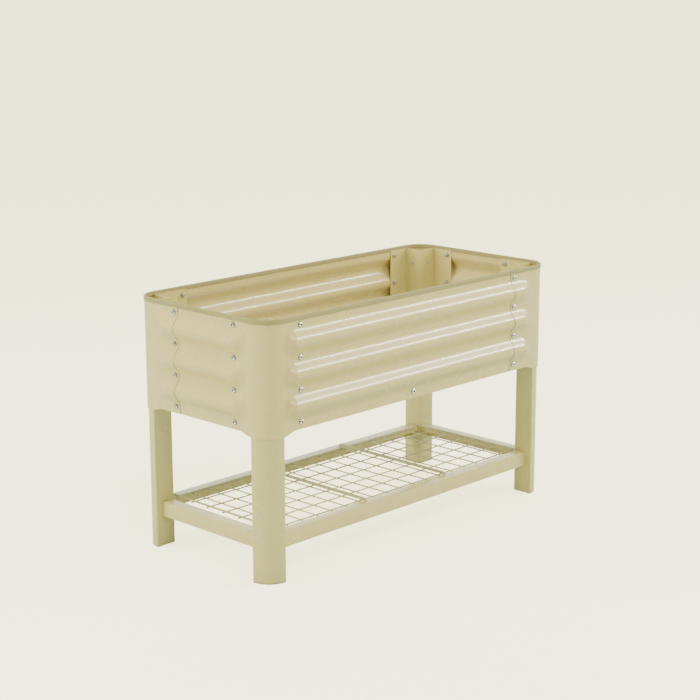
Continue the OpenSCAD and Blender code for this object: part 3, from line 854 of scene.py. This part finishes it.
# resistance welds: small flats of metal squeezed out where wires cross
for k in range(-8, 9):
    for iy in [-2, -1, 0, 1, 2]:
        x, y = k * STEP, iy * 56.8
        z = WIRE_Z - WIRE_R + 0.15 + sag(x, y)
        tube(mesh, [(x - 1.6, y - 1.6, z), (x, y, z), (x + 1.6, y + 1.6, z)], 0.9, 8)
ob = new_piece("shelf_mesh_wires", mesh.v, mesh.f, "wire_paint", ["shelf_mesh"])
recalc(ob); sharp_by_angle(ob, 60)
for nm, s in (("left", -1), ("right", 1)):
    b = Build()
    tube(b, tipped(s * 3 * STEP, TOPS + BAR_R, BAR_TIP), BAR_R, 20)
    ob = new_piece(f"shelf_cross_bar_{nm}_rod", b.v, b.f, "wire_paint", [f"shelf_cross_bar_{nm}"])
    recalc(ob); sharp_by_angle(ob, 60)


# ---------------------------------------------------------------- folded parts inside the bed

def folded(node_name, suffix, slot, width=0.35, angle=30.0):
    """A cleaned copy of a folded CAD part with softened edges."""
    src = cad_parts[node_name]
    me = src.data.copy()
    me.materials.clear()
    bm = bmesh.new()
    bm.from_mesh(me)
    bmesh.ops.remove_doubles(bm, verts=bm.verts, dist=1e-6)
    bmesh.ops.dissolve_limit(bm, angle_limit=math.radians(1.0), verts=bm.verts, edges=bm.edges)
    bmesh.ops.recalc_face_normals(bm, faces=bm.faces)
    bm.to_mesh(me)
    bm.free()
    ob = bpy.data.objects.new(node_name + suffix, me)
    bpy.context.scene.collection.objects.link(ob)
    me.materials.append(MAT[slot])
    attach(ob, "root")
    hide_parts(node_name)
    bevel(ob, width, 2, angle)
    sharp_by_angle(ob, 30)
    return ob


for q in ("front_left", "front_right", "rear_right", "rear_left"):
    folded("leg_bracket_" + q, "_strap", "leg_paint", 0.4)
for q in ("front", "rear", "left", "right"):
    folded("floor_ledge_" + q, "_angle", "zinc", 0.4)
    for h in ("a", "b"):
        folded(f"rail_bracket_{q}_{h}", "_angle", "rail_paint", 0.3)
folded("floor_cross_brace", "_bar", "zinc", 0.4)
for q in ("left", "right"):
    folded("floor_panel_" + q, "_sheet", "zinc", 0.25)


# ---------------------------------------------------------------- stage, light and camera

def stage_plane():
    me = bpy.data.meshes.new("stage_floor")
    s = 60.0
    me.from_pydata([(-s, -s, 0), (s, -s, 0), (s, s, 0), (-s, s, 0)], [], [(0, 1, 2, 3)])
    ob = bpy.data.objects.new("stage_floor", me)
    bpy.context.scene.collection.objects.link(ob)
    m, nt, bsdf = base_material("stage_floor")
    bsdf.inputs["Base Color"].default_value = (0.64, 0.71, 0.64, 1)
    bsdf.inputs["Roughness"].default_value = 0.9
    bsdf.inputs["Specular IOR Level"].default_value = 0.1
    # the floor looks paler to the camera than the light it sends back
    path = nt.nodes.new("ShaderNodeLightPath")
    glow = nt.nodes.new("ShaderNodeMath")
    glow.operation = "MULTIPLY"
    glow.inputs[1].default_value = FLOOR_GLOW
    nt.links.new(path.outputs["Is Camera Ray"], glow.inputs[0])
    nt.links.new(glow.outputs["Value"], bsdf.inputs["Emission Strength"])
    bsdf.inputs["Emission Color"].default_value = (1.0, 0.87, 0.49, 1)
    # clear from below, and to light right under the feet, so the underside can be looked at
    clear = nt.nodes.new("ShaderNodeBsdfTransparent")
    side = nt.nodes.new("ShaderNodeNewGeometry")
    near = nt.nodes.new("ShaderNodeMath")
    near.operation = "LESS_THAN"
    near.inputs[1].default_value = 0.004
    nt.links.new(path.outputs["Ray Length"], near.inputs[0])
    either = nt.nodes.new("ShaderNodeMath")
    either.operation = "MAXIMUM"
    nt.links.new(side.outputs["Backfacing"], either.inputs[0])
    nt.links.new(near.outputs["Value"], either.inputs[1])
    mix = nt.nodes.new("ShaderNodeMixShader")
    nt.links.new(either.outputs["Value"], mix.inputs["Fac"])
    nt.links.new(bsdf.outputs["BSDF"], mix.inputs[1])
    nt.links.new(clear.outputs["BSDF"], mix.inputs[2])
    nt.links.new(mix.outputs["Shader"], nt.nodes["Material Output"].inputs["Surface"])
    me.materials.append(m)
    return ob


FLOOR_GLOW = 3.1
stage_plane()

world = bpy.data.worlds.new("studio")
bpy.context.scene.world = world
world.use_nodes = True
wn = world.node_tree
bg = wn.nodes["Background"]
bg.inputs["Strength"].default_value = 1.0
tc = wn.nodes.new("ShaderNodeTexCoord")
sep = wn.nodes.new("ShaderNodeSeparateXYZ")
wn.links.new(tc.outputs["Generated"], sep.inputs["Vector"])
up = wn.nodes.new("ShaderNodeMapRange")
up.inputs["From Min"].default_value = 0.0
up.inputs["From Max"].default_value = 0.8
up.inputs["To Min"].default_value = 1.22
up.inputs["To Max"].default_value = 0.53
wn.links.new(sep.outputs["Z"], up.inputs["Value"])
# a pale backdrop behind the planter, so level faces catch its reflection
back = wn.nodes.new("ShaderNodeVectorMath")
back.operation = "DOT_PRODUCT"
back.inputs[1].default_value = (0.715, 0.699, 0.0)
wn.links.new(tc.outputs["Generated"], back.inputs[0])
ramp = wn.nodes.new("ShaderNodeMapRange")
ramp.interpolation_type = "SMOOTHSTEP"
ramp.inputs["From Min"].default_value = 0.55
ramp.inputs["From Max"].default_value = 0.93
ramp.inputs["To Min"].default_value = 0.0
ramp.inputs["To Max"].default_value = 1.5
wn.links.new(back.outputs["Value"], ramp.inputs["Value"])
both = wn.nodes.new("ShaderNodeMath")
both.operation = "ADD"
wn.links.new(up.outputs["Result"], both.inputs[0])
wn.links.new(ramp.outputs["Result"], both.inputs[1])
# the studio is dark behind the camera, which the bright metal picks up
front = wn.nodes.new("ShaderNodeVectorMath")
front.operation = "DOT_PRODUCT"
front.inputs[1].default_value = (-0.69, -0.67, 0.27)
wn.links.new(tc.outputs["Generated"], front.inputs[0])
dim = wn.nodes.new("ShaderNodeMapRange")
dim.interpolation_type = "SMOOTHSTEP"
dim.inputs["From Min"].default_value = 0.55
dim.inputs["From Max"].default_value = 0.85
dim.inputs["To Min"].default_value = 0.0
dim.inputs["To Max"].default_value = 0.92
wn.links.new(front.outputs["Value"], dim.inputs["Value"])
path = wn.nodes.new("ShaderNodeLightPath")
share = wn.nodes.new("ShaderNodeMapRange")
share.inputs["To Min"].default_value = 0.55
share.inputs["To Max"].default_value = 1.0
wn.links.new(path.outputs["Is Glossy Ray"], share.inputs["Value"])
seen = wn.nodes.new("ShaderNodeMath")
seen.operation = "MULTIPLY"
wn.links.new(dim.outputs["Result"], seen.inputs[0])
wn.links.new(share.outputs["Result"], seen.inputs[1])
keep = wn.nodes.new("ShaderNodeMath")
keep.operation = "SUBTRACT"
keep.inputs[0].default_value = 1.0
wn.links.new(seen.outputs["Value"], keep.inputs[1])
final = wn.nodes.new("ShaderNodeMath")
final.operation = "MULTIPLY"
wn.links.new(both.outputs["Value"], final.inputs[0])
wn.links.new(keep.outputs["Value"], final.inputs[1])
wn.links.new(final.outputs["Value"], bg.inputs["Strength"])
bg.inputs["Color"].default_value = (0.90, 1.0, 0.93, 1)
# above the floor's far edge the camera sees the floor's tone
haze = wn.nodes.new("ShaderNodeBackground")
haze.inputs["Color"].default_value = (1.0, 0.96, 0.86, 1)
haze.inputs["Strength"].default_value = 3.7
pick = wn.nodes.new("ShaderNodeMixShader")
wn.links.new(path.outputs["Is Camera Ray"], pick.inputs["Fac"])
wn.links.new(bg.outputs["Background"], pick.inputs[1])
wn.links.new(haze.outputs["Background"], pick.inputs[2])
wn.links.new(pick.outputs["Shader"], wn.nodes["World Output"].inputs["Surface"])


def area(name, direction, dist, size, power, colour=(1.0, 0.965, 0.935), aim=(0, 0, 0.45), along=None, glossy=True):
    d = Vector(direction).normalized()
    li = bpy.data.lights.new(name, "AREA")
    li.shape = "RECTANGLE"
    li.size, li.size_y = size
    li.energy = power
    li.color = colour
    ob = bpy.data.objects.new(name, li)
    bpy.context.scene.collection.objects.link(ob)
    ob.location = Vector(aim) + d * dist
    ob.rotation_mode = "QUATERNION"
    if along is None:
        ob.rotation_quaternion = d.to_track_quat("Z", "Y")
    else:
        a = Vector(along)
        a = (a - d * a.dot(d)).normalized()
        ob.rotation_quaternion = Matrix((a, d.cross(a), d)).transposed().to_quaternion()
    ob.visible_glossy = glossy
    return ob


area("key_right", (2.90, -1.97, 1.935), 4.02, (2.6, 0.20), 142, aim=(0.0, -0.24, 0.50), along=(0.947, 0.22, -0.235))
area("side_left", (-0.85, 0.40, 0.40), 4.0, (3.2, 2.2), 175, glossy=False)
area("top_soft", (0.0, 0.0, 1.0), 4.0, (3.0, 3.0), 62)
area("front_fill", (-0.32, -0.68, 0.78), 4.0, (2.0, 2.0), 96)

cam_data = bpy.data.cameras.new("photo_camera")
cam_data.sensor_width = 36.0
cam_data.lens = 1676.05 / 700.0 * 36.0
cam_data.clip_start, cam_data.clip_end = 0.1, 60.0
cam = bpy.data.objects.new("photo_camera", cam_data)
bpy.context.scene.collection.objects.link(cam)
yaw, pitch, roll = (math.radians(a) for a in (45.819, 13.233, 0.161))
fwd = Vector((math.sin(yaw) * math.cos(pitch), math.cos(yaw) * math.cos(pitch), -math.sin(pitch)))
right0 = Vector((math.cos(yaw), -math.sin(yaw), 0.0))
down0 = fwd.cross(right0)
right = right0 * math.cos(roll) + down0 * math.sin(roll)
down = fwd.cross(right)
rot = Matrix((right, -down, -fwd)).transposed()
cam.matrix_world = Matrix.Translation((-2.97601, -2.88579, 1.41428)) @ rot.to_4x4()
bpy.context.scene.camera = cam
